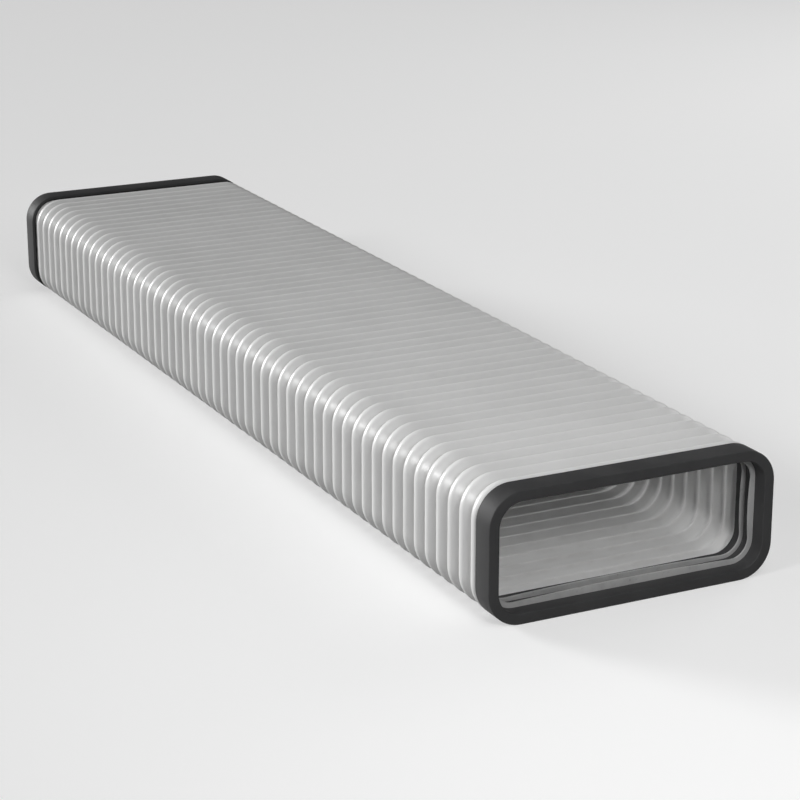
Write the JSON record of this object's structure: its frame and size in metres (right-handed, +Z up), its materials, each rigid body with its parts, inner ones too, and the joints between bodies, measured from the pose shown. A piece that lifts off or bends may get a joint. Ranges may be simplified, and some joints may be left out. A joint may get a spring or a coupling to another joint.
{
  "type": "flexible flat channel duct",
  "caption": "Flexible corrugated flat channel hose with a dark sealing collar on each end, for joining flat ventilation channels around bends and offsets",
  "frame": {"origin": "middle of the overall box, at the height of the collars' underside, which rests on the floor", "axes": "+X along the duct to the collar that faces the camera in the picture, +Y across the wide side, +Z up through the flat side"},
  "size_m": [1, 0.2324, 0.0987],
  "materials": {
    "hose_white": "satin",
    "collar_grey": "satin",
    "seal_grey": "matt"
  },
  "bodies": {
    "root": {"corrugated_hose": "hose_white", "end_collar_front": "collar_grey", "end_collar_back": "collar_grey", "outer_lip_front": "seal_grey", "inner_lip_front": "seal_grey", "outer_lip_back": "seal_grey", "inner_lip_back": "seal_grey"}
  },
  "joints": []
}
